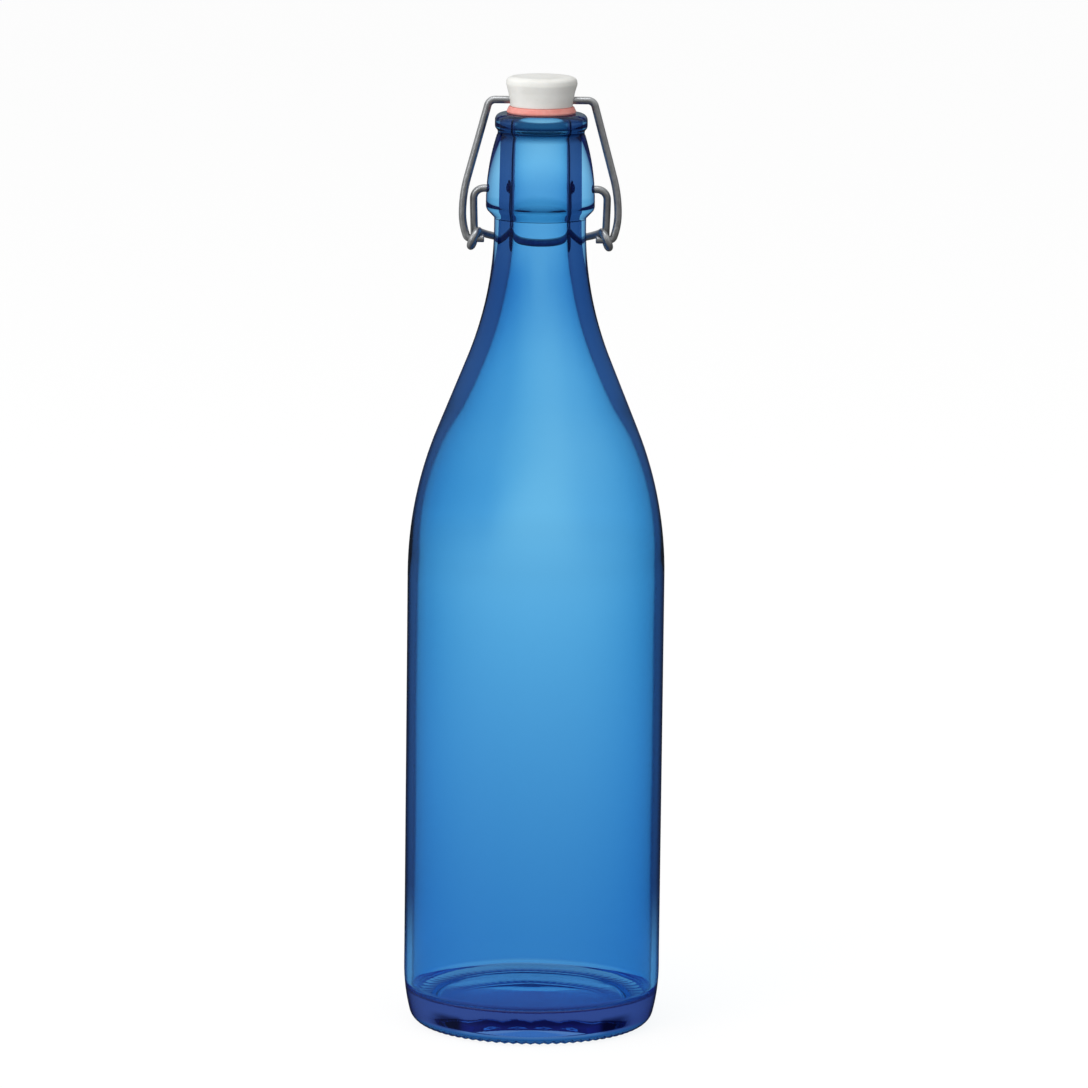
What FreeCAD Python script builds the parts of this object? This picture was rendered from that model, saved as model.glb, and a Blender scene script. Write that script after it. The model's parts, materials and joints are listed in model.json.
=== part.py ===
import FreeCAD, Part
import Sketcher
import math
import os

# Swing top bottle: glass bottle, stopper, gasket, bail wire and lever wire.
# Millimetres. Origin at the centre of the resting plane, +Z up, lever pivot axis
# along X, the lever's thumb loop on the +Y side of the neck.

V = FreeCAD.Vector
doc = FreeCAD.newDocument("SwingTopBottle")

# Driving dimensions, in mm unless noted. A "_height" is above the resting plane,
# a "_radius" is from the axis of its part, an "_arc" is the radius of a profile
# or bend arc. An entry starting with "=" follows from entries above it.
DIMS = [
    # glass bottle, outside, from the base centre up to the mouth
    ("body_radius", 42.5),
    ("pushup_height", 3.0),
    ("pushup_edge_radius", 31.5),
    ("pushup_edge_height", 1.1),
    ("bearing_inner_radius", 34.0),
    ("bearing_outer_radius", 35.42),
    ("bearing_arc", 4.4),
    ("heel_corner_radius", 40.60),
    ("heel_corner_height", 4.0),
    ("heel_arc", 5.36),
    ("heel_top_height", 19.0),
    ("heel_taper_arc", 60.2),
    ("shoulder_base_height", 151.36),
    ("shoulder_arc", 128.31),
    ("shoulder_radius", 33.17),
    ("shoulder_height", 199.40),
    ("sweep_radius", 23.62),
    ("sweep_height", 223.05),
    ("sweep_arc", 117.1),
    ("neck_radius", 15.1),
    ("neck_base_height", 266.9),
    ("neck_top_height", 269.2),
    ("undercut_arc", 1.2),
    ("undercut_low_radius", 15.6),
    ("undercut_low_height", 270.3),
    ("undercut_high_radius", 17.15),
    ("undercut_high_height", 271.9),
    ("ring_arc", 2.6),
    ("ring_radius", 17.87),
    ("ring_height", 273.7),
    ("ring_top_height", 275.2),
    ("finish_arc", 72.8),
    ("waist_radius", 14.55),
    ("waist_height", 296.9),
    ("waist_arc", 1.6),
    ("bead_low_radius", 14.65),
    ("bead_low_height", 298.9),
    ("bead_low_arc", 1.6),
    ("bead_radius", 15.2),
    ("bead_side_height", 300.2),
    ("bead_shoulder_height", 301.9),
    ("bead_top_arc", 2.2),
    ("bead_top_radius", 13.0),
    ("glass_height", 304.1),
    # glass bottle, inside, from the mouth down to the floor
    ("bore_radius", 8.9),
    ("mouth_arc", 1.0),
    ("mouth_flat_radius", "=bore_radius + mouth_arc"),
    ("mouth_arc_height", "=glass_height - mouth_arc"),
    ("bore_base_height", 267.93),
    ("inner_sweep_arc", 117.9),
    ("inner_knee_radius", 26.34),
    ("inner_knee_height", 206.22),
    ("inner_shoulder_arc", 93.3),
    ("inner_radius", 40.0),
    ("inner_shoulder_height", 157.5),
    ("inner_corner_height", 14.4),
    ("inner_corner_arc", 3.2),
    ("floor_edge_radius", 36.9),
    ("floor_edge_height", 11.2),
    ("floor_centre_height", 11.9),
    # both wires, and the radial room around them in the dimples and cross bore
    ("wire_radius", 1.25),
    ("wire_clearance", 0.05),
    # lever pivot dimples
    ("pivot_height", 279.2),
    ("dimple_floor_x", 13.6),
    ("dimple_mouth_x", 16.95),
    ("dimple_outer_x", 19.0),
    ("dimple_radius", "=wire_radius + wire_clearance"),
    ("dimple_lead_radius", 2.2),
    # bail hook, below the pivot axis and to its -Y side
    ("hook_drop", 16.5),
    ("hook_offset", 0.9),
    # bail centreline: x from its middle, z from the hook along the leaning bail
    ("bail_length", 45.709),
    ("stub_end_x", 18.3),
    ("stub_bend_x", 22.70),
    ("stub_arc", 1.6),
    ("leg_low_x", 24.205),
    ("leg_low_z", 1.06),
    ("leg_low_arc", 22.0),
    ("leg_max_x", 25.5),
    ("leg_max_z", 8.5),
    ("leg_high_arc", 45.0),
    ("leg_line_x", 23.946),
    ("leg_line_z", 20.22),
    ("corner_low_x", 17.56),
    ("corner_low_z", 43.885),
    ("corner_arc", 2.5),
    ("corner_top_x", 15.15),
    # stopper
    ("cap_base_radius", 10.25),
    ("cap_base_height", 306.4),
    ("cap_side_radius", 11.75),
    ("cap_side_height", 313.4),
    ("cap_edge_arc", 2.3),
    ("cap_edge_radius", 10.0),
    ("cap_edge_height", 316.1),
    ("cap_top_height", 316.5),
    ("stem_radius", 6.0),
    ("plug_top_height", "=glass_height"),
    ("plug_radius", 7.3),
    ("plug_low_height", 302.2),
    ("plug_base_radius", 6.6),
    ("plug_base_height", 301.4),
    ("cross_height", 308.4),
    ("cross_bore_radius", "=wire_radius + wire_clearance"),
    ("cross_reach", 14.0),
    # gasket, with its gaps to the stem and to the glass
    ("gasket_stem_gap", 0.05),
    ("gasket_glass_gap", 0.06),
    ("gasket_hole_radius", "=stem_radius + gasket_stem_gap"),
    ("gasket_top_radius", 10.65),
    ("gasket_rim_radius", 11.5),
    ("gasket_rim_height", 304.8),
    ("gasket_foot_radius", 11.2),
    ("gasket_base_height", "=glass_height + gasket_glass_gap"),
    # lever centreline
    ("pin_end_gap", 0.15),         # from the dimple floor
    ("lever_bend_arc", 3.4),
    ("arm_top_x", 21.9),
    ("arm_low_x", 21.6),
    ("coil_radius", 2.57),
    ("coil_bow", 1.8),             # outward swing of the coil under the hook's bend
    ("coil_start_degrees", 8.0),   # where the arm meets the coil, from +Y
    ("loop_start_x", 20.2),
    ("loop_slope", 0.30),          # fall of the thumb loop per mm of y
]

# Thumb loop centreline from the coil to its middle: (x, y)
LOOP_POINTS = [
    (19.80, 1.7), (19.05, 3.4), (17.70, 5.9), (15.90, 8.5), (13.50, 11.1),
    (10.45, 13.55), (6.95, 15.5), (3.4, 16.65), (0.0, 17.0),
]
ARM_SHARES = (0.34, 0.67)   # extra points along the arm, as shares of its length
COIL_STEPS = 22

# Least volumes the cuts must take away, mm3
MIN_DIMPLE_CUT = 30.0
MIN_CROSS_BORE_CUT = 80.0

sheet = doc.addObject("Spreadsheet::Sheet", "Dims")
for row, (alias, content) in enumerate(DIMS, start=1):
    sheet.set("A%d" % row, alias)
    sheet.set("B%d" % row, str(content))
    sheet.setAlias("B%d" % row, alias)
doc.recompute()
D = {alias: float(sheet.get(alias)) for alias, _ in DIMS}


# ------------------------------------------------------------ sketch helpers
# Sketch sizes are given as an alias, or an alias with a minus sign before it.

# Side of the direction of travel on which an arc's centre lies
LEFT, RIGHT = 1, -1
ON_AXIS = "on_axis"   # in place of an arc alias: the centre stays on the turning axis

# Sketcher's numbers for parts of the geometry and for the sketch axes
START, END, CENTRE = 1, 2, 3
H_AXIS, V_AXIS = -1, -2


def value(spec):
    return -D[spec[1:]] if spec.startswith("-") else D[spec]


def expression(spec):
    return "-Dims." + spec[1:] if spec.startswith("-") else "Dims." + spec


def drive(sketch, spec, kind, *where):
    """Add a constraint whose size follows the spreadsheet."""
    index = sketch.addConstraint(Sketcher.Constraint(kind, *where, value(spec)))
    sketch.setExpression("Constraints[%d]" % index, expression(spec))


def place_point(sketch, geo, pos, point):
    """Pin a sketch point to spreadsheet coordinates; None stands for zero."""
    for spec, kind, zero_axis in zip(point, ("DistanceX", "DistanceY"), (V_AXIS, H_AXIS)):
        if spec is None:
            sketch.addConstraint(Sketcher.Constraint("PointOnObject", geo, pos, zero_axis))
        else:
            drive(sketch, spec, kind, geo, pos)


def add_arc(sketch, start, end, arc, turn):
    """Add an arc and return its number and its end positions in travel order."""
    (x0, y0), (x1, y1) = start, end
    chord = math.hypot(x1 - x0, y1 - y0)
    if arc == ON_AXIS:
        reach, sag = max(abs(x0), abs(x1)), abs(y1 - y0)
        radius = (reach * reach + sag * sag) / (2.0 * sag)
    else:
        radius = D[arc]
    rise = math.sqrt(max(radius * radius - chord * chord / 4.0, 0.0))
    centre_x = (x0 + x1) / 2.0 - turn * rise * (y1 - y0) / chord
    centre_y = (y0 + y1) / 2.0 + turn * rise * (x1 - x0) / chord
    circle = Part.Circle(V(centre_x, centre_y, 0), V(0, 0, 1), radius)
    angle0 = math.atan2(y0 - centre_y, x0 - centre_x)
    angle1 = math.atan2(y1 - centre_y, x1 - centre_x)
    # An ArcOfCircle always runs counterclockwise
    low, high = (angle0, angle1) if turn == LEFT else (angle1, angle0)
    if high < low:
        high += 2 * math.pi
    geo = sketch.addGeometry(Part.ArcOfCircle(circle, low, high), False)
    return (geo, START, END) if turn == LEFT else (geo, END, START)


def chain(sketch, points, legs):
    """Draw legs through the points; as many legs as points closes the chain.

    A leg is () for a line or (arc alias, side of its centre) for an arc.
    """
    spots = [tuple(0.0 if spec is None else value(spec) for spec in point)
             for point in points]
    closed = len(legs) == len(points)
    ends = []
    for i, leg in enumerate(legs):
        start, end = spots[i], spots[(i + 1) % len(spots)]
        if leg:
            ends.append(add_arc(sketch, start, end, *leg))
        else:
            line = Part.LineSegment(V(*start, 0), V(*end, 0))
            ends.append((sketch.addGeometry(line, False), START, END))
    for i in range(len(legs) if closed else len(legs) - 1):
        geo, _, end = ends[i]
        next_geo, next_start, _ = ends[(i + 1) % len(legs)]
        sketch.addConstraint(
            Sketcher.Constraint("Coincident", geo, end, next_geo, next_start))
    for (geo, start, _), point in zip(ends, points):
        place_point(sketch, geo, start, point)
    if not closed:
        geo, _, end = ends[-1]
        place_point(sketch, geo, end, points[-1])
    for (geo, _, _), leg in zip(ends, legs):
        if leg and leg[0] == ON_AXIS:
            sketch.addConstraint(Sketcher.Constraint("PointOnObject", geo, CENTRE, V_AXIS))
        elif leg:
            drive(sketch, leg[0], "Radius", geo)


def outline(sketch, rows):
    """Draw a closed profile from rows of (x, y) plus the leg to the next row."""
    chain(sketch, [row[:2] for row in rows], [row[2:] for row in rows])


# -------------------------------------------------------------- body helpers
def new_body(name):
    body = doc.addObject("PartDesign::Body", name)
    body.Label = name
    return body


def plane_of(body, role):
    return next(item for item in body.Origin.OriginFeatures if item.Role == role)


def new_sketch(body, name, role):
    sketch = body.newObject("Sketcher::SketchObject", name)
    sketch.AttachmentSupport = [(plane_of(body, role), "")]
    sketch.MapMode = "FlatFace"
    return sketch


def turn_feature(body, kind, name, sketch, axis):
    """Turn a sketch a full circle about one of its own axes."""
    feature = body.newObject("PartDesign::" + kind, name)
    feature.Profile = sketch
    feature.ReferenceAxis = (sketch, [axis])
    feature.Angle = 360.0
    body.Tip = feature
    return feature


def revolve(body, sketch_name, name, rows):
    """Turn a profile about the bottle axis."""
    sketch = new_sketch(body, sketch_name, "XZ_Plane")
    outline(sketch, rows)
    turn_feature(body, "Revolution", name, sketch, "V_Axis")
    doc.recompute()


def cross_groove(body, name, height, rows):
    """Turn away a profile about an X axis that lies at a given height."""
    sketch = new_sketch(body, name + "_profile", "XZ_Plane")
    sketch.AttachmentOffset = FreeCAD.Placement(V(0, D[height], 0), FreeCAD.Rotation())
    sketch.setExpression("AttachmentOffset.Base.y", expression(height))
    outline(sketch, rows)
    groove = turn_feature(body, "Groove", name, sketch, "H_Axis")
    doc.recompute()
    return groove


def require_cut(body, volume_before, least):
    if not volume_before - body.Shape.Volume > least:
        raise RuntimeError("the cross cut missed %s" % body.Label)


# -------------------------------------------------------------- glass bottle
GLASS_PROFILE = [
    (None, "pushup_height", ON_AXIS, RIGHT),
    ("pushup_edge_radius", "pushup_edge_height", "bearing_arc", LEFT),
    ("bearing_inner_radius", None),
    ("bearing_outer_radius", None, "heel_arc", LEFT),
    ("heel_corner_radius", "heel_corner_height", "heel_taper_arc", LEFT),
    ("body_radius", "heel_top_height"),
    ("body_radius", "shoulder_base_height", "shoulder_arc", LEFT),
    ("shoulder_radius", "shoulder_height"),
    ("sweep_radius", "sweep_height", "sweep_arc", RIGHT),
    ("neck_radius", "neck_base_height"),
    ("neck_radius", "neck_top_height", "undercut_arc", RIGHT),
    ("undercut_low_radius", "undercut_low_height"),
    ("undercut_high_radius", "undercut_high_height", "ring_arc", LEFT),
    ("ring_radius", "ring_height"),
    ("ring_radius", "ring_top_height", "finish_arc", LEFT),
    ("waist_radius", "waist_height", "waist_arc", RIGHT),
    ("bead_low_radius", "bead_low_height", "bead_low_arc", LEFT),
    ("bead_radius", "bead_side_height"),
    ("bead_radius", "bead_shoulder_height", "bead_top_arc", LEFT),
    ("bead_top_radius", "glass_height"),
    ("mouth_flat_radius", "glass_height", "mouth_arc", LEFT),
    ("bore_radius", "mouth_arc_height"),
    ("bore_radius", "bore_base_height", "inner_sweep_arc", LEFT),
    ("inner_knee_radius", "inner_knee_height", "inner_shoulder_arc", RIGHT),
    ("inner_radius", "inner_shoulder_height"),
    ("inner_radius", "inner_corner_height", "inner_corner_arc", RIGHT),
    ("floor_edge_radius", "floor_edge_height", ON_AXIS, LEFT),
    (None, "floor_centre_height"),
]


def make_glass():
    glass = new_body("glass_bottle")
    revolve(glass, "glass_profile", "glass_wall", GLASS_PROFILE)
    uncut_volume = glass.Shape.Volume
    dimple = cross_groove(glass, "pivot_dimple", "pivot_height", [
        ("dimple_floor_x", None),
        ("dimple_outer_x", None),
        ("dimple_outer_x", "dimple_lead_radius"),
        ("dimple_mouth_x", "dimple_radius"),
        ("dimple_floor_x", "dimple_radius"),
    ])
    twin = glass.newObject("PartDesign::Mirrored", "pivot_dimple_twin")
    twin.Originals = [dimple]
    twin.MirrorPlane = (plane_of(glass, "YZ_Plane"), [""])
    glass.Tip = twin
    doc.recompute()
    require_cut(glass, uncut_volume, MIN_DIMPLE_CUT)
    return glass


# ------------------------------------------------------- stopper and gasket
def make_stopper():
    cap = new_body("stopper_cap")
    revolve(cap, "cap_profile", "cap_turned", [
        (None, "plug_base_height"),
        ("plug_base_radius", "plug_base_height"),
        ("plug_radius", "plug_low_height"),
        ("plug_radius", "plug_top_height"),
        ("stem_radius", "plug_top_height"),
        ("stem_radius", "cap_base_height"),
        ("cap_base_radius", "cap_base_height"),
        ("cap_side_radius", "cap_side_height", "cap_edge_arc", LEFT),
        ("cap_edge_radius", "cap_edge_height", ON_AXIS, LEFT),
        (None, "cap_top_height"),
    ])
    uncut_volume = cap.Shape.Volume
    # The bail's top bar passes through this bore
    cross_groove(cap, "cross_bore", "cross_height", [
        ("-cross_reach", None),
        ("cross_reach", None),
        ("cross_reach", "cross_bore_radius"),
        ("-cross_reach", "cross_bore_radius"),
    ])
    require_cut(cap, uncut_volume, MIN_CROSS_BORE_CUT)
    return cap


def make_gasket():
    gasket = new_body("sealing_gasket")
    revolve(gasket, "gasket_profile", "gasket_ring", [
        ("gasket_hole_radius", "gasket_base_height"),
        ("gasket_foot_radius", "gasket_base_height"),
        ("gasket_rim_radius", "gasket_rim_height"),
        ("gasket_top_radius", "cap_base_height"),
        ("gasket_hole_radius", "cap_base_height"),
    ])
    return gasket


# ----------------------------------------------------------------- bail wire
# The +X half of the centreline, from the hook's end up to the top bar
BAIL_HALF = [
    ("stub_end_x", None),
    ("stub_bend_x", None, "stub_arc", RIGHT),
    ("leg_low_x", "leg_low_z", "leg_low_arc", RIGHT),
    ("leg_max_x", "leg_max_z", "leg_high_arc", RIGHT),
    ("leg_line_x", "leg_line_z"),
    ("corner_low_x", "corner_low_z", "corner_arc", RIGHT),
    ("corner_top_x", "bail_length"),
]


def make_bail():
    bail = new_body("bail_wire")
    path = new_sketch(bail, "bail_path", "XZ_Plane")
    right = [row[:2] for row in BAIL_HALF]
    left = [("-" + x, z) for x, z in right]
    legs = [row[2:] for row in BAIL_HALF]   # the last one is the top bar
    chain(path, left + right[::-1], legs + legs[-2::-1])

    section = new_sketch(bail, "bail_section", "YZ_Plane")
    section.AttachmentOffset = FreeCAD.Placement(
        V(0, 0, -D["stub_end_x"]), FreeCAD.Rotation())
    section.setExpression("AttachmentOffset.Base.z", expression("-stub_end_x"))
    circle = section.addGeometry(Part.Circle(V(0, 0, 0), V(0, 0, 1), D["wire_radius"]))
    # Centre the circle on the sketch origin, the start point of the H axis
    section.addConstraint(
        Sketcher.Constraint("Coincident", circle, CENTRE, H_AXIS, START))
    drive(section, "wire_radius", "Radius", circle)
    doc.recompute()

    pipe = bail.newObject("PartDesign::AdditivePipe", "bail_bent")
    pipe.Profile = section
    pipe.Spine = (path, ["Edge%d" % n for n in range(1, len(path.Shape.Edges) + 1)])
    pipe.Mode = "Standard"
    bail.Tip = pipe
    # Lean the bail from the hook so that its top bar lies over the bottle axis
    lean = math.degrees(math.asin(D["hook_offset"] / D["bail_length"]))
    bail.Placement = FreeCAD.Placement(
        V(0, -D["hook_offset"], D["pivot_height"] - D["hook_drop"]),
        FreeCAD.Rotation(V(1, 0, 0), -lean))
    doc.recompute()
    return bail


# ---------------------------------------------------------------- lever wire
# The centreline, with the pivot axis as its X axis: pin, bend, arm, one open
# coil for the bail's hook, then the thumb loop on the +Y side of the neck.
def ease(share):
    return share * share * (3 - 2 * share)


def mirrored(point):
    return V(-point.x, point.y, point.z)


def coil_points():
    """The coil at +X, turning down from the arm and round under the hook."""
    start = math.radians(D["coil_start_degrees"])
    end = -math.pi * 1.5 - math.atan(D["loop_slope"])
    points = []
    for i in range(COIL_STEPS + 1):
        share = i / COIL_STEPS
        angle = start + (end - start) * share
        bow = D["coil_bow"] * math.sin(math.pi * share) ** 2
        points.append(V(
            D["arm_low_x"] + (D["loop_start_x"] - D["arm_low_x"]) * ease(share) + bow,
            -D["hook_offset"] + D["coil_radius"] * math.cos(angle),
            -D["hook_drop"] + D["coil_radius"] * math.sin(angle)))
    return points


def lever_edges():
    coil = coil_points()
    first, last = coil[0], coil[-1]

    # Bend from the pin (+X) into the arm, which slants to meet the coil
    bend = D["lever_bend_arc"]
    arm_way = first - V(D["arm_top_x"], 0.0, -bend)
    arm_way.x = 0.0
    arm_way.normalize()
    pin_end = V(D["dimple_floor_x"] + D["pin_end_gap"], 0.0, 0.0)
    bend_start = V(D["arm_top_x"] - bend, 0.0, 0.0)
    bend_end = V(D["arm_top_x"], 0.0, 0.0) + arm_way * bend
    bend_centre = bend_start + arm_way * bend
    bend_mid = bend_centre + (V(1, 0, 0) - arm_way) * (bend * math.sqrt(0.5))

    arm = []
    for share in ARM_SHARES:
        spot = bend_end + (first - bend_end) * share
        spot.x = bend_end.x + (first.x - bend_end.x) * ease(share)
        arm.append(spot)
    loop = [V(x, y, last.z - D["loop_slope"] * (y - last.y)) for x, y in LOOP_POINTS]
    half = [bend_end] + arm + coil + loop
    curve = Part.BSplineCurve()
    curve.interpolate(Points=half + [mirrored(point) for point in half[-2::-1]],
                      InitialTangent=arm_way,
                      FinalTangent=V(0, -arm_way.y, -arm_way.z))

    # Split where the arm, coil and loop meet, which keeps the swept wire round
    joints = (first, last, mirrored(last), mirrored(first))
    knots = ([curve.FirstParameter] + [curve.parameter(joint) for joint in joints]
             + [curve.LastParameter])
    runs = [curve.toShape(low, high) for low, high in zip(knots, knots[1:])]
    return [
        Part.LineSegment(pin_end, bend_start).toShape(),
        Part.Arc(bend_start, bend_mid, bend_end).toShape(),
    ] + runs + [
        Part.Arc(mirrored(bend_end), mirrored(bend_mid), mirrored(bend_start)).toShape(),
        Part.LineSegment(mirrored(bend_start), mirrored(pin_end)).toShape(),
    ], pin_end


def make_lever():
    edges, pin_end = lever_edges()
    spine = doc.addObject("Part::Feature", "lever_centreline")
    spine.Shape = Part.Wire(edges)
    section = doc.addObject("Part::Circle", "lever_section")
    section.setExpression("Radius", expression("wire_radius"))
    section.Placement = FreeCAD.Placement(
        pin_end, FreeCAD.Rotation(V(0, 0, 1), V(1, 0, 0)))
    doc.recompute()
    lever = doc.addObject("Part::Sweep", "lever_wire")
    lever.Label = "lever_wire"
    lever.Sections = [section]
    lever.Spine = (spine, ["Edge%d" % n for n in range(1, len(edges) + 1)])
    lever.Solid = True
    lever.Frenet = False
    lever.Placement = FreeCAD.Placement(V(0, 0, D["pivot_height"]), FreeCAD.Rotation())
    lever.setExpression("Placement.Base.z", expression("pivot_height"))
    doc.recompute()
    return lever


# ---------------------------------------------------------- build and export
parts = [make_glass(), make_stopper(), make_gasket(), make_bail(), make_lever()]

for item in doc.Objects:
    if "Invalid" in item.State or "Error" in item.State:
        raise RuntimeError("%s is %s" % (item.Name, item.State))
os.makedirs("parts", exist_ok=True)
for part in parts:
    shape = part.Shape
    if shape.isNull() or not shape.isValid() or len(shape.Solids) != 1:
        raise RuntimeError("%s has no single valid solid" % part.Label)
    shape.exportStep("parts/%s.step" % part.Label)
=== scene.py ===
"""A blue glass swing-top bottle with its stopper, gasket, bail wire and lever wire.

The bottle stands upright with its axis on Z. The closure pivots turn about X, one wire end
on each side. The camera looks from -Y, and the lever's loop reaches towards +Y.
"""
import json
import math

import bmesh
import bpy
import numpy as np
from mathutils import Matrix, Vector, noise


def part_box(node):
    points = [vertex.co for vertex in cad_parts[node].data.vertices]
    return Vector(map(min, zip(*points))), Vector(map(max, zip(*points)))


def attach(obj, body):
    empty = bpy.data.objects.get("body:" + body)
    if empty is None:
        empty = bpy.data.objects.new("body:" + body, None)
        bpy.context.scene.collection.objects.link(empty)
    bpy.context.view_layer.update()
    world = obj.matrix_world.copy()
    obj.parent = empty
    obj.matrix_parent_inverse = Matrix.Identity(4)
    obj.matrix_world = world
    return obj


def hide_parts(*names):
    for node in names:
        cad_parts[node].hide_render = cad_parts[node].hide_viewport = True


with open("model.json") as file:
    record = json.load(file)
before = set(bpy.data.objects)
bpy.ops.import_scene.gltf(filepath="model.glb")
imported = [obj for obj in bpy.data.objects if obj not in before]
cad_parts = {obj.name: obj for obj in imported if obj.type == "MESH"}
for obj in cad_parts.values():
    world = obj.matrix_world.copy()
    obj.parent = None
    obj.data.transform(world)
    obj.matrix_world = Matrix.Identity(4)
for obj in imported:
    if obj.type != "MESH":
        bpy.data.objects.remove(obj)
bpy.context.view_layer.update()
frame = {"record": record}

MM = 0.001
scene = bpy.context.scene

# positions from the frame, in metres
JOINTS = {joint["name"]: joint for joint in frame["record"]["behaviour"]["joints"]}
LEVER_PIVOT = Vector(JOINTS["lever_pivot"]["pos_m"])
BAIL_PIVOT = Vector(JOINTS["bail_pivot"]["pos_m"])
STOPPER_PIVOT = Vector(JOINTS["stopper_pivot"]["pos_m"])
GLASS_BOTTOM = Vector(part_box("glass_bottle")[0]).z
LEVER_TOP = Vector(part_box("lever_wire")[1]).z

# the lever's pin is its highest part, so its top is one wire radius above the pivot
WIRE_RADIUS = (LEVER_TOP - LEVER_PIVOT.z) * 0.997
WIRE_HOLE = 1.30                # mm, radius of the holes that take the wires


# --------------------------------------------------------------------------
# outlines
# --------------------------------------------------------------------------
def divided(start, end, count):
    """The points after start, up to end, that divide a line into count pieces."""
    return [(start[0] + (end[0] - start[0]) * i / count,
             start[1] + (end[1] - start[1]) * i / count) for i in range(1, count + 1)]


def arc(start, end, count, bend):
    """Points after start up to end on an arc of radius |bend|.

    The centre is left of the way for a positive bend, right of it for a negative one.
    """
    x0, y0 = start
    x1, y1 = end
    radius, turn = abs(bend), math.copysign(1, bend)
    half = math.hypot(x1 - x0, y1 - y0) / 2
    rise = math.sqrt(max(radius * radius - half * half, 0.0))
    across_x, across_y = -(y1 - y0) / (2 * half), (x1 - x0) / (2 * half)
    centre_x = (x0 + x1) / 2 + turn * across_x * rise
    centre_y = (y0 + y1) / 2 + turn * across_y * rise
    first = math.atan2(y0 - centre_y, x0 - centre_x)
    last = math.atan2(y1 - centre_y, x1 - centre_x)
    while (last - first) * turn < 0:
        last += turn * 2 * math.pi
    angles = [first + (last - first) * i / count for i in range(1, count + 1)]
    return [(centre_x + radius * math.cos(a), centre_y + radius * math.sin(a)) for a in angles]


def trace(rows):
    """A polyline through rows of (x, y, pieces) for a line or (x, y, pieces, bend) for an arc.

    Each row says how it is reached; the first is only (x, y).
    """
    out = [rows[0]]
    for before, (x, y, pieces, *bend) in zip(rows, rows[1:]):
        start, end = before[:2], (x, y)
        out += arc(start, end, pieces, *bend) if bend else divided(start, end, pieces)
    return out


def rounded(rows, count):
    """Rows of (x, y, corner radius) with the corners turned into arcs; 0 keeps a corner."""
    out = []
    for i, (x, y, radius) in enumerate(rows):
        if radius <= 0:
            out.append((x, y))
            continue
        corner = Vector((x, y))
        back = Vector(rows[i - 1][:2]) - corner
        ahead = Vector(rows[i + 1][:2]) - corner
        back_length, ahead_length = back.length, ahead.length
        back.normalize()
        ahead.normalize()
        angle = math.acos(max(-1, min(1, back.dot(ahead))))
        trim = min(radius / math.tan(angle / 2), back_length * 0.48, ahead_length * 0.48)
        radius = trim * math.tan(angle / 2)
        centre = corner + (back + ahead).normalized() * (radius / math.sin(angle / 2))
        start, end = corner + back * trim, corner + ahead * trim
        first = math.atan2(start.y - centre.y, start.x - centre.x)
        last = math.atan2(end.y - centre.y, end.x - centre.x)
        while last - first > math.pi:
            last -= 2 * math.pi
        while last - first < -math.pi:
            last += 2 * math.pi
        for k in range(count + 1):
            a = first + (last - first) * k / count
            out.append((centre.x + radius * math.cos(a), centre.y + radius * math.sin(a)))
    return out


def densify(points, step):
    out = [points[0]]
    for start, end in zip(points, points[1:]):
        length = math.hypot(end[0] - start[0], end[1] - start[1])
        out += divided(start, end, max(1, int(math.ceil(length / step))))
    return out


def metres(points):
    return [(x * MM, z * MM) for x, z in points]


def smoothstep(s):
    return s * s * (3 - 2 * s)


# --------------------------------------------------------------------------
# meshes
# --------------------------------------------------------------------------
def shade_smooth(mesh, sharp_angle):
    """Smooth faces, with edges sharper than sharp_angle degrees marked unless it is None."""
    mesh.polygons.foreach_set("use_smooth", [True] * len(mesh.polygons))
    mesh.update()
    if sharp_angle is not None:
        mesh.set_sharp_from_angle(angle=math.radians(sharp_angle))


def new_object(name, verts, faces, sharp_angle=None):
    mesh = bpy.data.meshes.new(name)
    mesh.from_pydata(verts, [], faces)
    mesh.validate()
    shade_smooth(mesh, sharp_angle)
    obj = bpy.data.objects.new(name, mesh)
    scene.collection.objects.link(obj)
    return obj


def face_outward(obj):
    bm = bmesh.new()
    bm.from_mesh(obj.data)
    bmesh.ops.recalc_face_normals(bm, faces=bm.faces)
    bm.to_mesh(obj.data)
    bm.free()


def lathe(name, profile, segments, shape=None, closed=False, sharp_angle=None):
    """Turn a profile of (r, z) in metres about Z. A point at r = 0 becomes a pole.

    shape(i, angle, r, z) may return a changed (r, z) for profile point i.
    """
    verts, rows = [], []
    for i, (r, z) in enumerate(profile):
        if r < 1e-9:
            rows.append([len(verts)])
            verts.append((0.0, 0.0, z))
            continue
        row = []
        for k in range(segments):
            a = 2 * math.pi * k / segments
            ring_r, ring_z = shape(i, a, r, z) if shape else (r, z)
            row.append(len(verts))
            verts.append((ring_r * math.cos(a), ring_r * math.sin(a), ring_z))
        rows.append(row)
    faces = []
    for low, high in list(zip(rows, rows[1:])) + ([(rows[-1], rows[0])] if closed else []):
        for k in range(segments):
            j = (k + 1) % segments
            if len(low) == 1:
                faces.append((low[0], high[j], high[k]))
            elif len(high) == 1:
                faces.append((low[k], low[j], high[0]))
            else:
                faces.append((low[k], low[j], high[j], high[k]))
    obj = new_object(name, verts, faces, sharp_angle)
    face_outward(obj)
    return obj


AROUND = 28                     # points around a wire
TIP = 0.22 * MM                 # length over which a wire's end is turned down
# share of TIP from the end, share of the wire radius there
TIP_STEPS = [(0.0, 0.62), (0.12, 0.80), (0.45, 0.95), (1.0, 1.0)]


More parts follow.
